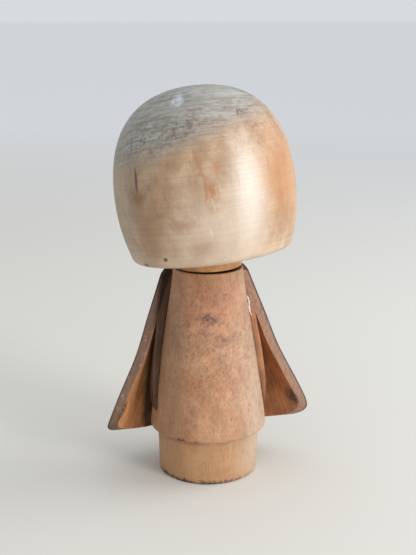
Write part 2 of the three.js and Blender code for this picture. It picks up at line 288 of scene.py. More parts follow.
def makeBody(material):
    s = bodyShape
    low, high = s["hemHeight"] + s["hemEdge"], s["top"] - s["topEdge"]
    base, hem, top = s["baseBottomRadius"], s["hemRadius"], s["topRadius"]
    outline = [(0, 0), *curvePoints([(base - s["baseEdge"], 0), (base, 0), (base, s["baseEdge"])], 4)]
    outline += [(s["baseTopRadius"], s["hemHeight"])]
    outline += curvePoints([(hem - s["hemEdge"], s["hemHeight"]), (hem, s["hemHeight"]), (hem, low)], 4)
    steps = 40
    outline += [(sideRadius(low + (high - low) * i / steps), low + (high - low) * i / steps)
                for i in range(1, steps)]
    outline += curvePoints([(top, high), (top, s["top"]), (top - s["topEdge"], s["top"])], 4)
    outline += [(s["boreRadius"] + s["boreEdge"], s["top"]), (s["boreRadius"], s["top"] - s["boreEdge"]),
                (s["boreRadius"], s["boreBottom"]), (0, s["boreBottom"])]
    body = looseObject(turnOnLathe(outline, s["sides"]), "turned_body")
    finishPiece(body, material, "doll_body", ["body"])


# beech, turned and left bare: dull orange tan, full of short flecks, dusty with handling, with painted
# light and shade on its two sides
bodyWood = agedWood("turned bare beech", {
    "centre": (0, 0, 0), "lean": (0, 0, 0), "patch": (13, 13, 17),
    "pale": "c69571", "deep": "aa7753", "late": "8e5b39", "lateStrength": 0.28,
    "pith": (-14, -60, 0), "pithLean": (2, -3, 0), "ringSpacing": 3.4, "ringWander": 3.0,
    "roughness": 0.6,
}, [
    # fibres, drawn far coarser than the real ones so that they show, then the flecks of the rays, a
    # millimetre or two long, and the rings that the lathe tool left
    {"grain": ((0.7, 0.7, 7), 0.48, 0.78), "color": "7d5238", "strength": 0.3, "rough": 0.15,
     "relief": -0.03},
    {"grain": ((0.8, 0.8, 2.2), 0.52, 0.64), "color": "5e3f2b", "strength": 0.5, "relief": -0.05},
    {"grain": ((6, 6, 8), 0.5, 0.62), "color": "87674d", "strength": 0.3},
    {"grain": ((9, 9, 7), 0.52, 0.64), "grainTurn": (0, 40, 0), "color": "b06c42", "strength": 0.35},
    {"grain": ((0.9, 0.9, 2.2), 0.56, 0.7), "grainTurn": (0, 0, 40), "color": "d6ad86", "strength": 0.35},
    {"grain": ((90, 90, 0.6), 0.5, 0.75), "color": "7d5238", "strength": 0.12, "relief": -0.02},
    # pale, patchy dust on the lamp side, which also paints light there; painted shade as a grey cast on the
    # other side
    {"at": (-25, 10, 60), "size": (15, 24, 50), "soft": 0.9, "grain": ((2, 2, 3), 0.3, 0.62),
     "color": "b9aa99", "strength": 0.65},
    {"at": (-18, 20, 38), "size": (9, 12, 16), "soft": 0.9, "grain": ((3, 3, 5), 0.35, 0.6),
     "color": "b5a695", "strength": 0.4},
    {"at": (27, 10, 62), "size": (10, 24, 48), "soft": 0.9, "color": "92795a", "strength": 0.4},
    {"at": (21, 14, 84), "size": (6, 12, 14), "soft": 0.9, "grain": ((1.6, 1.6, 2), 0.4, 0.6),
     "color": "6b5c4a", "strength": 0.45},
    # grime where it was held, in specks and in one dark blot
    {"at": (3, 20, 82), "size": (19, 12, 19), "soft": 0.8, "grain": ((2.4, 2.4, 3), 0.5, 0.64),
     "color": "594132", "strength": 0.5},
    {"at": (2, 20, 84), "size": (19, 12, 15), "soft": 0.9, "grain": ((7, 7, 6), 0.45, 0.6),
     "color": "7c5f50", "strength": 0.4},
    {"at": (0, 20, 90), "size": (14, 12, 10), "soft": 0.9, "color": "a8694a", "strength": 0.4},
    {"at": (4.3, 20.1, 87), "size": (4.2, 6, 2.4), "ragged": True, "grain": ((1.4, 1.4, 1.4), 0.35, 0.55),
     "color": "3d332d", "strength": 0.75},
    {"at": (-3, 20, 75), "size": (5, 8, 3), "ragged": True, "color": "6a4433", "strength": 0.4},
    {"at": (-4.6, 18.8, 98), "size": (1.5, 4, 0.8), "ragged": True, "color": "6b4a3a", "strength": 0.6},
    {"grain": ((1.4, 1.4, 2), 0.66, 0.73), "color": "4b382b", "strength": 0.55},
    # the foot is paler, with painted light on the lamp side, dark along its bottom edge, and a ring of
    # painted shade under the hem
    {"at": (0, 0, 12), "size": (40, 40, 12.6), "soft": 0.03, "color": "b68c62", "strength": 0.7},
    # painted light: paler on the lamp side
    {"at": (-24, 10, 12), "size": (13, 20, 16), "soft": 0.9, "color": "c4b5a3", "strength": 0.6},
    {"at": (0, 0, 12), "size": (40, 40, 12), "soft": 0.1, "grain": ((0.8, 0.8, 16), 0.5, 0.7),
     "color": "9a6f44", "strength": 0.5},
    {"at": (0, 0, 12), "size": (40, 40, 12), "soft": 0.1, "grain": ((4, 4, 7), 0.5, 0.66),
     "color": "a1734c", "strength": 0.45},
    {"at": (14, 12, 0), "size": (30, 30, 1.5), "ragged": True, "color": "2f2720", "strength": 0.85},
    # painted shade in a dark ring under the hem's overhang
    {"at": (0, 0, 24.3), "size": (33, 33, 0.8), "soft": 0.3, "color": "50392a", "strength": 0.6},
    {"at": (19.4, 23, 25.3), "size": (1.8, 3, 0.9), "ragged": True, "color": "26262a", "strength": 0.9},
    {"at": (13.1, 27.1, 25), "size": (2, 3, 0.8), "ragged": True, "color": "352c27", "strength": 0.85},
    # painted shade: the top is black, for the gap under the collar
    {"at": (0, 0, 109.3), "size": (17.3, 17.3, 1.1), "soft": 0.06, "color": "120f0e", "strength": 1.0},
])
makeBody(bodyWood)

# neck peg

pegShape = {"edge": 1.0, "sides": 64}


def makeNeckPeg(material):
    radius, low, high, edge = pegHigh.x, pegLow.z, pegHigh.z, pegShape["edge"]
    outline = [(0, low), (radius - edge, low), (radius, low + edge),
               (radius, high - edge), (radius - edge, high), (0, high)]
    peg = looseObject(turnOnLathe(outline, pegShape["sides"]), "turned_neck_peg")
    finishPiece(peg, material, "peg", ["neck_peg"])


# a birch dowel straight from the rod mill: pale, plain and a little furry, its fibres drawn coarser
pegWood = agedWood("birch dowel", {
    "centre": (0, 0, 0), "lean": (0, 0, 0), "patch": (8, 8, 14),
    "pale": "dcc39c", "deep": "c9aa7e", "late": "b08d60", "lateStrength": 0.3,
    "pith": (0, -20, 0), "pithLean": (2, -3, 0), "ringSpacing": 1.6, "ringWander": 1.5,
    "roughness": 0.65,
}, [
    {"grain": ((0.5, 0.5, 8), 0.48, 0.78), "color": "a98758", "strength": 0.35, "rough": 0.15,
     "relief": -0.03},
    {"grain": ((0.4, 0.4, 2), 0.6, 0.72), "color": "8c6a44", "strength": 0.4, "relief": -0.03},
])
makeNeckPeg(pegWood)

# head and neck collar

headShape = {
    "radius": 45.5,
    "rimRadius": 41.3,
    "below": 31.4,       # from the widest ring down to the flat underside
    "above": 52.2,       # and up to the crown
    "rimEdge": 4.2,
    "rimPull": 0.12,     # share of the rim's edge where its curve is pulled to
    "sidePull": 0.45,    # and how far down the side and up the crown theirs are
    "crownPull": 0.455,
    "crownFullness": 0.84,
    "leanSide": 6.3,
    "leanFront": 4.5,
    "underside": (-2.6, 0, 116.4),
    "sides": 192,
    "boreSides": 64,
}
faceShape = {"width": 54, "top": 6, "bottom": -24, "corner": 13, "arch": 4, "depth": 1.4}
collarShape = {
    "foot": (0, 0, 110),
    "rockAxis": 77,
    "rock": 1.9,
    "radius": 17.3,
    "topRadius": 21.5,
    "height": 7.3,
    "spare": 1.5,        # made this much taller, then cut off along the head's underside
    "waist": 0.2,
    "edge": 0.5,
    "straight": 1.6,
    "boreRadius": pegHigh.x + 0.7,
    "gapToHead": 0.3,
    "sides": 128,
}
leanToSide = Matrix.Rotation(radians(headShape["leanSide"]), 4, "Y")
leanToFront = Matrix.Rotation(radians(headShape["leanFront"]), 4, "X")
headTurn = leanToSide @ leanToFront
toUnderside = Matrix.Translation(headShape["underside"])
headPlace = toUnderside @ headTurn @ Matrix.Translation((0, 0, headShape["below"]))


def headOutline(inset=0):
    s = headShape
    radius, rim = s["radius"] - inset, s["rimRadius"] - inset
    bottom, top = -s["below"] + inset, s["above"] - inset
    flatEnd, rimStart = (rim - s["rimEdge"], bottom), (rim, bottom + s["rimEdge"] - inset)
    outline = [(0, bottom)]
    outline += curvePoints([flatEnd, (rim - s["rimEdge"] * s["rimPull"], bottom), rimStart], 8)
    outline += curvePoints([rimStart, (radius, bottom * s["sidePull"]), (radius, 0)], 24)[1:]
    outline += curvePoints([
        (radius, 0), (radius, top * s["crownPull"]), (s["radius"] * s["crownFullness"], top), (0, top),
    ], 48)[1:]
    return outline


def faceWindow():
    # the outline of the face as seen from the front, as (across, up)
    s = faceShape
    half, corner, low = s["width"] / 2, s["corner"], s["bottom"]
    points = curvePoints([(-half, s["top"]), (0, s["top"] + 2 * s["arch"]), (half, s["top"])], 24)
    points += curvePoints([(half, low + corner), (half, low), (half - corner, low)], 16)
    points += curvePoints([(corner - half, low), (-half, low), (-half, low + corner)], 16)
    return points


def makeHead(material):
    s = headShape
    head = looseObject(turnOnLathe(headOutline(), s["sides"]), "turned_head")
    # the window runs from before the head to near its axis
    inFront, through = -s["radius"] * 1.2, s["radius"] * 1.1
    window = bmesh.new()
    outline = [window.verts.new((x, inFront, z)) for x, z in faceWindow()]
    window.faces.new(outline)
    grown = bmesh.ops.extrude_face_region(window, geom=window.faces[:])["geom"]
    bmesh.ops.translate(window, vec=(0, through, 0),
                        verts=[g for g in grown if isinstance(g, bmesh.types.BMVert)])
    bmesh.ops.recalc_face_normals(window, faces=window.faces)
    window = looseObject(window, "window")
    core = looseObject(turnOnLathe(headOutline(faceShape["depth"]), s["sides"]), "core")
    combine(window, core, "DIFFERENCE")
    combine(head, window, "DIFFERENCE")
    head.data.transform(Matrix.Scale(mm, 4) @ headPlace @ Matrix.Scale(1 / mm, 4))
    boreRadius, boreTop = pegHigh.x + fitGap, pegHigh.z + fitGap
    bore = [(0, pegLow.z), (boreRadius, pegLow.z), (boreRadius, boreTop), (0, boreTop)]
    combine(head, looseObject(turnOnLathe(bore, s["boreSides"]), "bore"), "DIFFERENCE")
    finishPiece(head, material, "doll_head", ["head"])


def makeCollar(material):
    s = collarShape
    axis = Vector((cos(radians(s["rockAxis"])), sin(radians(s["rockAxis"])), 0))
    place = Matrix.Translation(s["foot"]) @ Matrix.Rotation(radians(s["rock"]), 4, axis)
    tall = s["height"] * s["spare"]
    outline = [(s["boreRadius"], 0)]
    outline += curvePoints([(s["radius"] - s["edge"], 0), (s["radius"], 0), (s["radius"], s["edge"])], 4)
    outline += curvePoints([
        (s["radius"], s["straight"]), (s["radius"] - s["waist"], tall / 2), (s["topRadius"], tall),
    ], 20)
    outline += [(s["boreRadius"], tall), (s["boreRadius"], 0)]
    bm = turnOnLathe(outline, s["sides"])
    bmesh.ops.transform(bm, matrix=place, verts=bm.verts)
    down = headTurn @ Vector((0, 0, -1))
    cutAt = Vector(headShape["underside"]) + down * s["gapToHead"]
    cut = bmesh.ops.bisect_plane(bm, geom=bm.verts[:] + bm.edges[:] + bm.faces[:], plane_co=cutAt,
                                 plane_no=down, clear_inner=True)
    rims = [g for g in cut["geom_cut"] if isinstance(g, bmesh.types.BMEdge)]
    bmesh.ops.bridge_loops(bm, edges=rims)
    bmesh.ops.recalc_face_normals(bm, faces=bm.faces)
    collar = looseObject(bm, "turned_neck_collar")
    finishPiece(collar, material, "doll_head", ["neck_collar"])


headCentre = tuple(headPlace.translation)
headLean = (headShape["leanFront"], headShape["leanSide"], 0)
# dogwood, turned and polished, long out in the light: satin, pale tan, its crown weathered grey
headWood = agedWood("turned polished dogwood", {
    "centre": headCentre, "lean": headLean, "patch": (15, 15, 21),
    "pale": "c6a98b", "deep": "aa886a", "late": "ad7c53", "lateStrength": 0.22,
    "pith": (-16, -68, 0), "pithLean": (2, -2, 0), "ringSpacing": 4.2, "ringWander": 2.0,
    "roughness": 0.36,
}, [
    # fibres upright and tool rings level, both drawn coarser than the real ones so that they show:
    # together they give the sheen its weave
    {"grain": ((0.9, 0.9, 11), 0.45, 0.8), "color": "80603f", "strength": 0.34, "rough": 0.12,
     "relief": -0.05},
    {"grain": ((90, 90, 0.9), 0.42, 0.66), "color": "80603f", "strength": 0.2, "rough": 0.08,
     "relief": -0.045},
    {"grain": ((3.2, 3.2, 9), 0.52, 0.7), "color": "b27d4f", "strength": 0.3},
    {"grain": ((1.2, 1.2, 1.4), 0.6, 0.7), "color": "75563a", "strength": 0.42},
    # warmer to one side, paler where the sheen lies with a painted highlight there, dusty at the other side
    # and along the rim
    {"at": (-33, 27, 7), "size": (16, 18, 18), "soft": 0.9, "color": "bb7d48", "strength": 0.65},
    {"at": (-43, 10, -8), "size": (8, 22, 26), "soft": 0.9, "color": "cfae8a", "strength": 0.4},
    # painted highlight: whitish where the sheen lies
    {"at": (-12, 43, 2), "size": (7, 9, 22), "soft": 0.9, "color": "ece2d6", "strength": 0.6},
    {"at": (2, 44, -16), "size": (18, 14, 18), "soft": 0.9, "color": "e3d3c1", "strength": 0.5},
    {"at": (46, 2, 0), "size": (10, 26, 44), "soft": 0.8, "color": "9d9686", "strength": 0.5,
     "rough": 0.2},
    {"at": (0, 0, -31), "size": (60, 60, 6), "soft": 0.8, "color": "d9c8b0", "strength": 0.35},
    {"at": (30, 30, 6), "size": (15, 14, 16), "soft": 0.8, "grain": ((4, 4, 6), 0.4, 0.65),
     "color": "85674a", "strength": 0.35},
    # the weathered crown: grey, streaked level, mottled and scuffed
    {"at": (12, 0, 62), "size": (90, 90, 35), "turn": (0, 14, 0), "soft": 0.22, "ragged": True,
     "color": "aaada9", "strength": 0.82, "rough": 0.3},
    {"at": (12, 0, 62), "size": (90, 90, 38), "turn": (0, 14, 0), "soft": 0.14, "ragged": True,
     "grain": ((17, 17, 1.1), 0.46, 0.62), "grainTurn": (11, -2.5, 0), "color": "6f6c62", "strength": 0.6,
     "relief": -0.04},
    {"at": (12, 0, 62), "size": (90, 90, 36), "turn": (0, 14, 0), "soft": 0.1,
     "grain": ((13, 13, 1.7), 0.5, 0.68), "grainTurn": (11, -2.5, 0), "color": "c0c0bc", "strength": 0.42},
    {"at": (10, 8, 52), "size": (60, 40, 12), "soft": 0.6, "grain": ((5, 5, 4), 0.45, 0.62),
     "color": "757a74", "strength": 0.4},
    {"at": (2, 20, 36), "size": (50, 30, 8), "turn": (0, 14, 0), "soft": 0.8,
     "grain": ((12, 12, 2), 0.42, 0.6), "grainTurn": (11, -2.5, 0), "color": "8c7261", "strength": 0.6},
    {"at": (31, 24, 30), "size": (17, 18, 9), "turn": (0, 14, 0), "soft": 0.8,
     "grain": ((2.2, 2.2, 1.8), 0.47, 0.6), "color": "5a5a4a", "strength": 0.6, "relief": -0.04},
    {"at": (33, 22, 22), "size": (17, 18, 9), "turn": (0, 14, 0), "soft": 0.9,
     "grain": ((3, 3, 2), 0.45, 0.62), "color": "9a9a8c", "strength": 0.55, "rough": 0.2},
    {"at": (14, 34, 35), "size": (13, 12, 6), "turn": (0, 10, 0), "soft": 0.8,
     "grain": ((2.4, 2.4, 1.8), 0.47, 0.6), "color": "5f584a", "strength": 0.6, "relief": -0.04},
    {"at": (-20, 31, 30), "size": (20, 12, 8), "turn": (0, 14, 0), "soft": 0.9,
     "grain": ((2.4, 2.4, 2), 0.5, 0.64), "color": "7a6351", "strength": 0.5},
    {"at": (-12, 28, 41), "size": (12, 12, 5), "turn": (0, 14, 0), "soft": 0.6,
     "grain": ((12, 12, 0.9), 0.6, 0.66), "grainTurn": (11, -2.5, 0), "color": "35302b", "strength": 0.7,
     "relief": -0.08},
    {"at": (-16.5, 30, 38.6), "size": (4.4, 6, 0.3), "turn": (0, 6, 0), "soft": 0.4, "ragged": True,
     "color": "2e2a26", "strength": 0.75},
    {"at": (-13.2, 31, 38), "size": (0.35, 6, 1.8), "turn": (0, -8, 0), "soft": 0.3, "color": "2e2a26",
     "strength": 0.75},
    {"at": (12.1, 21.5, 46.6), "size": (2.2, 6, 5), "turn": (0, 0, -20), "ragged": True,
     "grain": ((2, 2, 2), 0.35, 0.55), "color": "ccd6e0", "strength": 0.75},
    {"at": (-14.6, 25.8, 43.1), "size": (0.5, 4, 3.2), "turn": (0, 0, -35), "soft": 0.8, "ragged": True,
     "color": "d0d3ce", "strength": 0.45},
    {"at": (-13, 20, 47), "size": (10, 4, 4), "turn": (0, 0, 6), "soft": 0.8, "color": "c7cac7",
     "strength": 0.4},
    # flames, a crack with a brown figure under it, a ring stain, specks and a scratch
    {"at": (9.4, 44.1, 12), "size": (1.2, 8, 8.5), "turn": (0, 14, 0), "soft": 0.8, "ragged": True,
     "color": "a5673b", "strength": 0.55},
    {"at": (6.4, 44.1, 2), "size": (3, 8, 6.5), "soft": 0.7, "grain": ((1.2, 1.2, 5), 0.35, 0.6),
     "color": "ab6836", "strength": 0.75},
    {"at": (3, 44.1, 15), "size": (2, 8, 2), "soft": 0.8, "ragged": True, "color": "b67a49",
     "strength": 0.45},
    {"at": (-28, 35, 29), "size": (9, 9, 2.5), "turn": (0, 20, 0), "soft": 0.8,
     "grain": ((2, 2, 2), 0.45, 0.6), "color": "ab6a3e", "strength": 0.5},
    {"at": (-20, 34, 31), "size": (1.6, 5, 0.9), "ragged": True, "color": "8d4d32", "strength": 0.6},
    {"at": (-12, 36, 26), "size": (26, 16, 8), "turn": (0, 14, 0), "soft": 0.9,
     "grain": ((1.6, 1.6, 1.6), 0.56, 0.68), "color": "8d6544", "strength": 0.5},
    {"at": (37.3, 25, 12.4), "size": (0.5, 3, 6), "turn": (0, -4, 0), "soft": 0.4, "color": "46351f",
     "strength": 0.8, "relief": -0.1},
    {"at": (38, 24, 3.6), "size": (2.2, 8, 4), "soft": 0.8, "ragged": True, "color": "7c5130",
     "strength": 0.6},
    {"at": (35, 27, -4), "size": (5, 9, 8), "ragged": True, "soft": 0.8, "color": "88613f",
     "strength": 0.4},
    {"at": (22, 39, -10), "size": (6.5, 8, 2.6), "ragged": True, "soft": 0.7, "color": "94653e",
     "strength": 0.4},
    {"at": (13, 42, -22), "size": (5, 8, 3), "ragged": True, "soft": 0.8, "color": "a5805c",
     "strength": 0.4},
    {"at": (28, 30, -22), "size": (16, 14, 7), "soft": 0.6, "grain": ((0.9, 0.9, 0.9), 0.64, 0.7),
     "color": "4a4234", "strength": 0.7},
    {"at": (29.2, 29.6, -26.3), "size": (0.9, 2, 0.9), "color": "34342a", "strength": 0.9},
    {"at": (36.8, 16.9, -29.6), "size": (0.9, 2, 0.9), "color": "38382c", "strength": 0.8},
    {"at": (8.4, 43.5, -14.8), "size": (0.35, 2, 2.2), "turn": (0, 12, 0), "soft": 0.4, "color": "e4d8c8",
     "strength": 0.45},
    # the face in thin paint: two closed eyes, a small mouth and warm cheeks
    {"at": (11.5, -43, -5), "size": (4.2, 8, 0.6), "bend": 4.0, "soft": 0.35, "color": "2a2320",
     "strength": 0.95},
    {"at": (-11.5, -43, -5), "size": (4.2, 8, 0.6), "bend": 4.0, "soft": 0.35, "color": "2a2320",
     "strength": 0.95},
    {"at": (0, -43, -15), "size": (1.8, 8, 0.8), "bend": -0.8, "soft": 0.4, "color": "a23f35",
     "strength": 0.9},
    {"at": (16, -40, -12), "size": (5, 10, 3.6), "soft": 0.95, "color": "cf8672", "strength": 0.45},
    {"at": (-16, -40, -12), "size": (5, 10, 3.6), "soft": 0.95, "color": "cf8672", "strength": 0.45},
])
makeHead(headWood)

# beech as the body's, more orange: less weathered out of the light, and partly painted warm bounce light in
# its shade; painted shade black underneath, in the gap
collarWood = agedWood("shaded bare beech", {
    "centre": collarShape["foot"], "lean": (0, 0, 0), "patch": (9, 9, 9),
    "pale": "c4935f", "deep": "a8733f", "late": "8f5c3c", "lateStrength": 0.25,
    "pith": (-14, -60, 0), "pithLean": (2, -3, 0), "ringSpacing": 3.4, "ringWander": 3.0,
    "roughness": 0.6,
}, [
    {"grain": ((0.7, 0.7, 5), 0.48, 0.78), "color": "7d5238", "strength": 0.35, "rough": 0.15,
     "relief": -0.03},
    {"grain": ((90, 90, 0.6), 0.5, 0.75), "color": "7d5238", "strength": 0.2, "relief": -0.03},
    # painted shade: black under the foot, in the gap over the body
    {"at": (0, 0, -0.2), "size": (17.4, 17.4, 0.8), "soft": 0.3, "color": "120f0e", "strength": 1.0},
])
makeCollar(collarWood)

# sleeves

sleeveShape = {
    "wall": 5,
    "shoulderDrop": 5.4,     # below the body's top, where the shoulder starts to round in
    "shoulderSlope": 1.4,
    "shoulderLip": 0.6,
    "tipZ": 33.6,
    "tipCorner": 4,
    "cornerReach": 0.7,      # how far the corner runs forward, as a share of its height
    "lowZ": 16.8,
    "lowFront": 17,
    "lowRise": 4.2,
    "lowPull": 0.26,
    "centreTop": (1, 1.5),   # the bell's centre at the shoulder
    "centreTip": (13.8, 17.4),
    # share of the way up from the tip, and how far the bell stands off the body's side there
    "standOff": [(-0.25, 13.8), (0, 11.1), (0.14, 9.8), (0.43, 6.9), (0.71, 6.6), (1, 5.8), (1.3, 4.6)],
    # the same for the ledge that the hollow leaves beside the body
    "ledge": [(-0.14, -2.8), (0, -0.3), (0.14, 2.2), (0.38, 3.6), (0.62, 4.2), (1, 5.2), (1.3, 6)],
    "ledgeLow": 35.4,
    "ledgeInWall": 1,        # how far short of the outer face the ledge stops inside the wall
    "backEdgeTop": -7.4,
    "backEdgeTip": 7,
    "frontTurn": 60,
    "gap": 0.3,
    "clear": 0.05,           # keeps the faces of the ledge and the wall from falling on each other
    "edge": 0.45,
    "columns": 72,
    "rows": 84,
    "ledgeColumns": 40,
    "ledgeRows": 64,
    "cornerColumns": 0.14,   # share of the columns that go round the tip's corner
    "curveColumns": 0.48,    # and along the curve of the lower edge
    "shoulderRows": 0.15,    # share of the rows that go over the shoulder
}
shoulderZ = bodyShape["top"] - sleeveShape["shoulderDrop"]
sleeveRise = shoulderZ - sleeveShape["tipZ"]
frontway = Vector((cos(radians(sleeveShape["frontTurn"])), -sin(radians(sleeveShape["frontTurn"]))))


def smoothTable(table, at):
    # a smooth curve through the table's points, read at one place
    spot = 1
    while spot < len(table) - 3 and at > table[spot + 1][0]:
        spot += 1
    (x0, y0), (x1, y1), (x2, y2), (x3, y3) = table[spot - 1:spot + 3]
    t = (at - x1) / (x2 - x1)
    slope1, slope2 = (y2 - y0) / (x2 - x0) * (x2 - x1), (y3 - y1) / (x3 - x1) * (x2 - x1)
    return (y1 * (2 * t ** 3 - 3 * t ** 2 + 1) + slope1 * (t ** 3 - 2 * t ** 2 + t)
            + y2 * (3 * t ** 2 - 2 * t ** 3) + slope2 * (t ** 3 - t ** 2))


def upSleeve(z):
    return (z - sleeveShape["tipZ"]) / sleeveRise


def bellCentre(z):
    return Vector(sleeveShape["centreTip"]).lerp(Vector(sleeveShape["centreTop"]), upSleeve(z))


def bellRadius(z):
    return sideRadius(z) + smoothTable(sleeveShape["standOff"], upSleeve(z))


def backEdge(z):
    # y of the plane that the sleeve ends in at the back
    s = sleeveShape
    return s["backEdgeTip"] + (s["backEdgeTop"] - s["backEdgeTip"]) * upSleeve(z)


def turnTo(y, centreY, radius):
    return asin(max(-1, min(1, (y - centreY) / radius)))


def reachAlong(direction, centre, radius):
    # how far a level line from the doll's axis runs before it leaves a circle
    near = centre.dot(direction)
    return near + sqrt(max(0, near ** 2 - centre.length_squared + radius ** 2))


def frontTurn(z, radius):
    point = frontway * reachAlong(frontway, bellCentre(z), radius) - bellCentre(z)
    return atan2(point.y, point.x)


def lowEdge(share, inset):
    # where the lower edge runs, in side view as (y, z), from the back corner (0) to the front (1)
    s = sleeveShape
    under = (s["backEdgeTip"] - s["tipCorner"] * s["cornerReach"], s["tipZ"] - s["tipCorner"])
    flat = (-s["lowFront"], s["lowZ"])
    corner, curve = s["cornerColumns"], s["curveColumns"]
    if share < corner:
        top = s["tipZ"] + s["tipCorner"]
        return curvePoint([(backEdge(top), top), (s["backEdgeTip"], s["tipZ"]), under], share / corner)
    if share < corner + curve:
        pull = (-s["lowFront"] * s["lowPull"], s["lowZ"] + s["lowRise"])
        return curvePoint([under, pull, flat], (share - corner) / curve)
    radius = bellRadius(s["lowZ"]) - inset
    front = bellCentre(s["lowZ"]).y + radius * sin(frontTurn(s["lowZ"], radius))
    along = (share - corner - curve) / (1 - corner - curve)
    return Vector(flat).lerp(Vector((front, s["lowZ"])), along)


def wallPoint(across, up, depth):
    # the sleeve's wall: back to front, bottom to top, outside (0) to inside (1)
    s = sleeveShape
    inset = s["wall"] * depth
    y, z = lowEdge(across, inset)
    radius = bellRadius(z) - inset
    back, front = turnTo(backEdge(z), bellCentre(z).y, radius), frontTurn(z, radius)
    start = (turnTo(y, bellCentre(z).y, radius) - back) / (front - back)
    if up < 1 - s["shoulderRows"]:
        z += (shoulderZ - z) * up / (1 - s["shoulderRows"])
        radius = bellRadius(z)
    else:
        shoulder = bellRadius(shoulderZ)
        radius, z = curvePoint([
            (shoulder, shoulderZ),
            (shoulder - s["shoulderSlope"], bodyShape["top"] - bodyShape["topEdge"]),
            (bodyShape["topRadius"] + s["shoulderLip"], bodyShape["top"]),
        ], (up - 1 + s["shoulderRows"]) / s["shoulderRows"])
    radius -= inset
    back, front = turnTo(backEdge(z), bellCentre(z).y, radius), frontTurn(z, radius)
    turn = back + (front - back) * (start + (across - start) * up)
    x, y = bellCentre(z) + radius * Vector((cos(turn), sin(turn)))
    clear = sideRadius(z) + s["gap"]
    if hypot(x, y) < clear and abs(y) < clear:
        # moved off the body: level at the back, straight out at the front, so that both edges stay flat
        level = Vector((sqrt(clear ** 2 - y * y), y))
        x, y = level.lerp(Vector((x, y)).normalized() * clear, across).normalized() * clear
    return x, y, z


def ledgePoint(across, up, depth):
    # the ledge: back to front, bottom to top, from the body's side (0) to the hollow (1)
    s = sleeveShape
    z = s["ledgeLow"] + (shoulderZ - s["ledgeLow"]) * up
    radius = sideRadius(z) + s["gap"] + s["clear"] + smoothTable(s["ledge"], upSleeve(z)) * depth
    back, front = turnTo(backEdge(z) - s["clear"], 0, radius), -radians(s["frontTurn"] - s["clear"])
    turn = back + (front - back) * across
    direction = Vector((cos(turn), sin(turn)))
    radius = min(radius, reachAlong(direction, bellCentre(z), bellRadius(z) - s["ledgeInWall"]))
    return direction.x * radius, direction.y * radius, z


def bentPlate(pointAt, side, columns, rows):
    # a plate of one unit each way, bent to where pointAt says, and then its rim eased
    bm = bmesh.new()
    bmesh.ops.create_grid(bm, x_segments=columns, y_segments=rows, size=0.5)
    plate = bmesh.ops.extrude_face_region(bm, geom=bm.faces[:])["geom"]
    bmesh.ops.translate(bm, vec=(0, 0, 1), verts=[g for g in plate if isinstance(g, bmesh.types.BMVert)])
    bmesh.ops.recalc_face_normals(bm, faces=bm.faces)
    squareTurn = 1    # radians; only the plate's own corners turn further
    rims = [edge for edge in bm.edges if edge.calc_face_angle(0) > squareTurn]
    for vert in bm.verts:
        x, y, z = pointAt(vert.co.x + 0.5, vert.co.y + 0.5, vert.co.z)
        vert.co = (side * x, y, z)
    bmesh.ops.bevel(bm, geom=rims, offset=sleeveShape["edge"], segments=3, profile=0.5, affect="EDGES",
                    material=-1, clamp_overlap=True)
    bmesh.ops.remove_doubles(bm, verts=bm.verts, dist=sameSpot)
    bmesh.ops.recalc_face_normals(bm, faces=bm.faces)
    return bm


def markSleeve(mesh, side):
    # how deep each point lies in the bell's wall, in walls, and how far it is from the body, in millimetres
    for name in ("depth", "offBody"):
        mesh.attributes.new(name, "FLOAT", "POINT")
    for vert in mesh.vertices:
        x, y, z = vert.co / mm
        fromCentre = (Vector((side * x, y)) - bellCentre(z)).length
        over = max(0, z - shoulderZ)
        depth = (bellRadius(z) - fromCentre) / sleeveShape["wall"] - over
        mesh.attributes["depth"].data[vert.index].value = depth
        mesh.attributes["offBody"].data[vert.index].value = hypot(x, y) - sideRadius(z)


def makeSleeve(name, side, material, node):
    s = sleeveShape
    sleeve = looseObject(bentPlate(wallPoint, side, s["columns"], s["rows"]), name)
    ledge = looseObject(bentPlate(ledgePoint, side, s["ledgeColumns"], s["ledgeRows"]), "ledge")
    combine(sleeve, ledge, "UNION")
    markSleeve(sleeve.data, side)
    finishPiece(sleeve, material, "doll_body", [node])


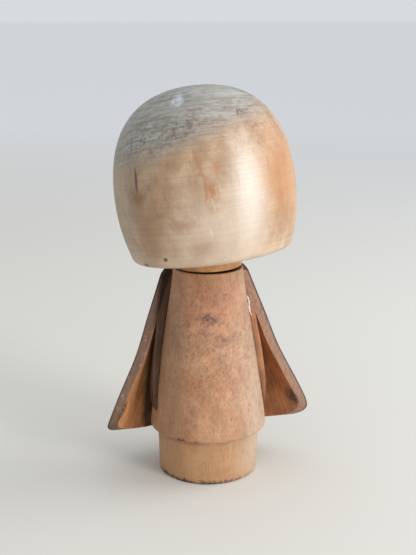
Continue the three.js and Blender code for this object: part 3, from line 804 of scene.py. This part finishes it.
def sleeveLook(name, side, wood, shadeNearBody, rim):
    # hardwood, carved and stained: orange brown inside, dull at the cut edge, almost black outside;
    # wood and rim carry painted light and shade, set apart for each sleeve; shadeNearBody is where the
    # painted shade beside the body starts and is full, in millimetres, and its strength
    far, near, paintedShadeStrength = shadeNearBody
    return agedWood(name, {
        "centre": (0, 0, 0), "lean": (0, 0, 0), "patch": (10, 10, 15),
        "pale": wood[0], "deep": wood[1], "late": "6e3f25", "lateStrength": 0.3,
        "pith": (side * 30, -50, 0), "pithLean": (2, side * 8, 0), "ringSpacing": 2.6, "ringWander": 2.0,
        "roughness": 0.5,
    }, [
        {"grain": ((0.6, 0.6, 12), 0.48, 0.75), "grainTurn": (0, side * -12, 0), "color": "5b3421",
         "strength": 0.4, "rough": 0.15, "relief": -0.03},
        {"grain": ((0.6, 0.6, 2.2), 0.58, 0.7), "grainTurn": (0, side * -12, 0), "color": "452818",
         "strength": 0.4, "relief": -0.03},
        # the cut edge
        {"attribute": ("depth", 0.99, 0.93), "color": rim, "strength": 0.85, "rough": 0.2},
        {"attribute": ("depth", 0.99, 0.93), "grain": ((1.2, 1.2, 5), 0.42, 0.62), "color": "644837",
         "strength": 0.45},
        {"attribute": ("depth", 0.99, 0.93), "grain": ((2, 2, 3), 0.56, 0.68), "color": "b39c8b",
         "strength": 0.4},
        # painted shade in the corner beside the body
        {"attribute": ("offBody", far, near), "color": "120c0a", "strength": paintedShadeStrength, "rough": 0.25},
        # the stain on the outside, which runs just over the edge and is worn through in places
        {"attribute": ("depth", 0.2, 0.06), "color": "2b1f1b", "strength": 0.92, "rough": -0.08},
        {"attribute": ("depth", 0.1, 0.03), "grain": ((0.8, 0.8, 13), 0.44, 0.64), "color": "6b4a38",
         "grainTurn": (0, side * -12, 0), "strength": 0.5, "rough": 0.12, "relief": -0.04},
        {"attribute": ("depth", 0.1, 0.03), "grain": ((7, 7, 12), 0.46, 0.62), "color": "5c3d2d",
         "strength": 0.55},
        {"attribute": ("depth", 0.1, 0.03), "grain": ((1.8, 1.8, 6), 0.6, 0.68), "color": "9a7256",
         "strength": 0.6, "rough": 0.15},
        # black in the inner edge at the tip
        {"at": (side * 46, 5, 36), "size": (7, 6, 5), "grain": ((1.5, 1.5, 1.5), 0.35, 0.5),
         "attribute": ("depth", 0.72, 0.92), "color": "16110f", "strength": 0.85},
    ])


# lit and shaded copies: the left sleeve's paler inside is painted light and its dark cut edge painted
# shade, the right's lighter cut edge is painted light
leftSleeveWoodPaintedLightAndShade = sleeveLook("carved stained hardwood, left, painted light and shade", 1, ("d69660", "b87a4c"),
                        (6.6, 4.4, 0.84), "57473d")
rightSleeveWoodPaintedLightAndShade = sleeveLook("carved stained hardwood, right, painted light and shade", -1, ("c08152", "a1663e"),
                     (4, 0.5, 0.5), "a07d69")
makeSleeve("carved_left_sleeve", 1, leftSleeveWoodPaintedLightAndShade, "left_sleeve")
makeSleeve("carved_right_sleeve", -1, rightSleeveWoodPaintedLightAndShade, "right_sleeve")

# glue

glueShape = {
    "top": 91,
    "bottom": 80.4,
    "steps": 22,
    "sides": 16,
    "startRadius": 0.12,
    "radius": 0.62,
    "uneven": 0.3,       # share of the radius that it swells and thins by
    "swellTurns": (17, 5),    # radians over the whole length
    "out": 1.9,          # from the body's side
    "in": 0.75,          # from the sleeve's back edge
    "wander": 0.35,
    "wanderTurns": 7,
    "blunt": 0.03,       # the upper end starts as thick as at this share of the length
    "taper": 0.4,
}


def makeGlue(material):
    # a bead laid down the edge of the right sleeve, thicker and thinner as it ran
    s = glueShape
    bm = bmesh.new()
    bmesh.ops.create_circle(bm, cap_ends=True, segments=s["sides"], radius=s["startRadius"])
    tip = bm.faces[:]
    swellTurn, thinTurn = s["swellTurns"]
    spine = []
    for step in range(s["steps"] + 1):
        share = step / s["steps"]
        z = s["top"] + (s["bottom"] - s["top"]) * share
        y = backEdge(z) + s["in"]
        reach = sideRadius(z) + s["out"] + s["wander"] * sin(s["wanderTurns"] * share)
        swell = sin(pi * min(1, max(s["blunt"], share))) ** s["taper"]
        unevenness = 1 + s["uneven"] * sin(swellTurn * share) * cos(thinTurn * share)
        spine.append((Vector((-sqrt(reach ** 2 - y ** 2), y, z)), s["radius"] * swell * unevenness))
    bmesh.ops.translate(bm, vec=spine[0][0], verts=bm.verts)
    for (start, _), (end, radius) in zip(spine, spine[1:]):
        grown = bmesh.ops.extrude_face_region(bm, geom=tip)["geom"]
        tip = [g for g in grown if isinstance(g, bmesh.types.BMFace)]
        ring = tip[0].verts[:]
        bmesh.ops.translate(bm, vec=end - start, verts=ring)
        size = radius / (ring[0].co - tip[0].calc_center_median()).length
        bmesh.ops.scale(bm, vec=(size, size, 1), verts=ring, space=Matrix.Translation(-end))
    bmesh.ops.recalc_face_normals(bm, faces=bm.faces)
    glue = looseObject(bm, "dried_glue_bead")
    finishPiece(glue, material, "doll_body", ["right_sleeve_glue"], 60)


# white wood glue, dried: chalky, a little yellow, and dirty in its dips
driedGlue = agedWood("dried wood glue", {
    "centre": (0, 0, 0), "lean": (0, 0, 0), "patch": (3, 3, 3),
    "pale": "efece4", "deep": "cfc6b6", "late": "cfc6b6", "lateStrength": 0.0,
    "pith": (0, -20, 0), "pithLean": (0, 0, 0), "ringSpacing": 3, "ringWander": 1.0,
    "roughness": 0.5,
}, [
    {"grain": ((0.9, 0.9, 1.2), 0.5, 0.68), "color": "9a8b78", "strength": 0.45, "rough": 0.2,
     "relief": -0.1},
])
makeGlue(driedGlue)

# floor, light and camera

cameraShape = {"turn": 13, "rise": 14.67, "distance": 510.5, "aimHeight": 102.97, "lens": 64.86}
# the floor's colour paints light: darker in a round about the doll and paler far off, evening out how the
# lamps fall on it
stageShape = {
    "half": 40000,
    "shift": (-0.4, 0.1, 0),     # metres, brings the middle of the darker round to the origin
    "dark": "dedbd3",
    "pale": "f6f6f6",
    "fadeFrom": 0.3,             # metres from the middle
    "fadeTo": 1.9,
}
lightShape = {
    "sky": "ecf0f5",
    "skyStrength": 0.81,
    "target": (0, 0, 0.1),
    # degrees to the right of the camera, degrees up, metres away, size in metres, watts, spread
    "lamps": {
        "window": (48, 14, 1.3, (0.4, 0.9), 3.3, 90),
        "side softbox": (100, 40, 1.2, (0.8, 0.8), 2.2, 120),
    },
}


def makeStage():
    s = stageShape
    bm = bmesh.new()
    bmesh.ops.create_grid(bm, x_segments=1, y_segments=1, size=s["half"])
    floor = looseObject(bm, "floor")
    paper = bpy.data.materials.new("matt paper")
    paper.use_nodes = True
    tree = paper.node_tree
    shader = tree.nodes["Principled BSDF"]
    where = addNode(tree, "TexCoord").outputs["Object"]
    place = addNode(tree, "VectorMath", {0: where, 1: s["shift"]}, operation="ADD")
    away = addNode(tree, "VectorMath", {0: place.outputs[0]}, operation="LENGTH")
    share = addNode(tree, "MapRange", {
        "Value": away.outputs["Value"], "From Min": s["fadeFrom"], "From Max": s["fadeTo"],
    }, interpolation_type="SMOOTHSTEP")
    # painted light and shade on the floor, by distance from the middle
    color = addNode(tree, "Mix", {
        0: share.outputs[0], 6: linearColor(s["dark"]), 7: linearColor(s["pale"]),
    }, data_type="RGBA")
    tree.links.new(color.outputs[2], shader.inputs["Base Color"])
    shader.inputs["Roughness"].default_value = 0.9
    floor.data.materials.append(paper)


def addLamp(name, turn, rise, distance, size, power, spread):
    turn, rise = radians(cameraShape["turn"] - turn), radians(rise)
    at = Vector((sin(turn) * cos(rise), cos(turn) * cos(rise), sin(rise))) * distance
    lamp = bpy.data.lights.new(name, "AREA")
    lamp.shape = "RECTANGLE"
    lamp.size, lamp.size_y = size
    lamp.energy = power
    lamp.spread = radians(spread)
    holder = bpy.data.objects.new(name, lamp)
    holder.location = at
    holder.rotation_euler = (Vector(lightShape["target"]) - at).to_track_quat("-Z", "Y").to_euler()
    bpy.context.scene.collection.objects.link(holder)


def makeLight():
    world = bpy.data.worlds.new("studio")
    world.use_nodes = True
    sky = world.node_tree.nodes["Background"]
    sky.inputs["Color"].default_value = linearColor(lightShape["sky"])
    sky.inputs["Strength"].default_value = lightShape["skyStrength"]
    bpy.context.scene.world = world
    for name, settings in lightShape["lamps"].items():
        addLamp(name, *settings)


def makeCamera():
    s = cameraShape
    turn, rise = radians(s["turn"]), radians(s["rise"])
    back = Vector((sin(turn) * cos(rise), cos(turn) * cos(rise), sin(rise)))
    camera = bpy.data.cameras.new("camera")
    camera.lens = s["lens"]
    camera.clip_start = 0.01
    holder = bpy.data.objects.new("camera", camera)
    holder.location = (Vector((0, 0, s["aimHeight"])) + back * s["distance"]) * mm
    holder.rotation_euler = (-back).to_track_quat("-Z", "Y").to_euler()
    bpy.context.scene.collection.objects.link(holder)
    bpy.context.scene.camera = holder


makeStage()
makeLight()
makeCamera()
bpy.context.scene.view_settings.view_transform = "Standard"
print("floor, lamps and camera placed")

# sleeve pegs

# the sleeve pegs are hidden and keep their plain shapes
for node in ("left_sleeve_peg", "right_sleeve_peg"):
    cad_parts[node].data.materials.clear()
    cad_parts[node].data.materials.append(pegWood)
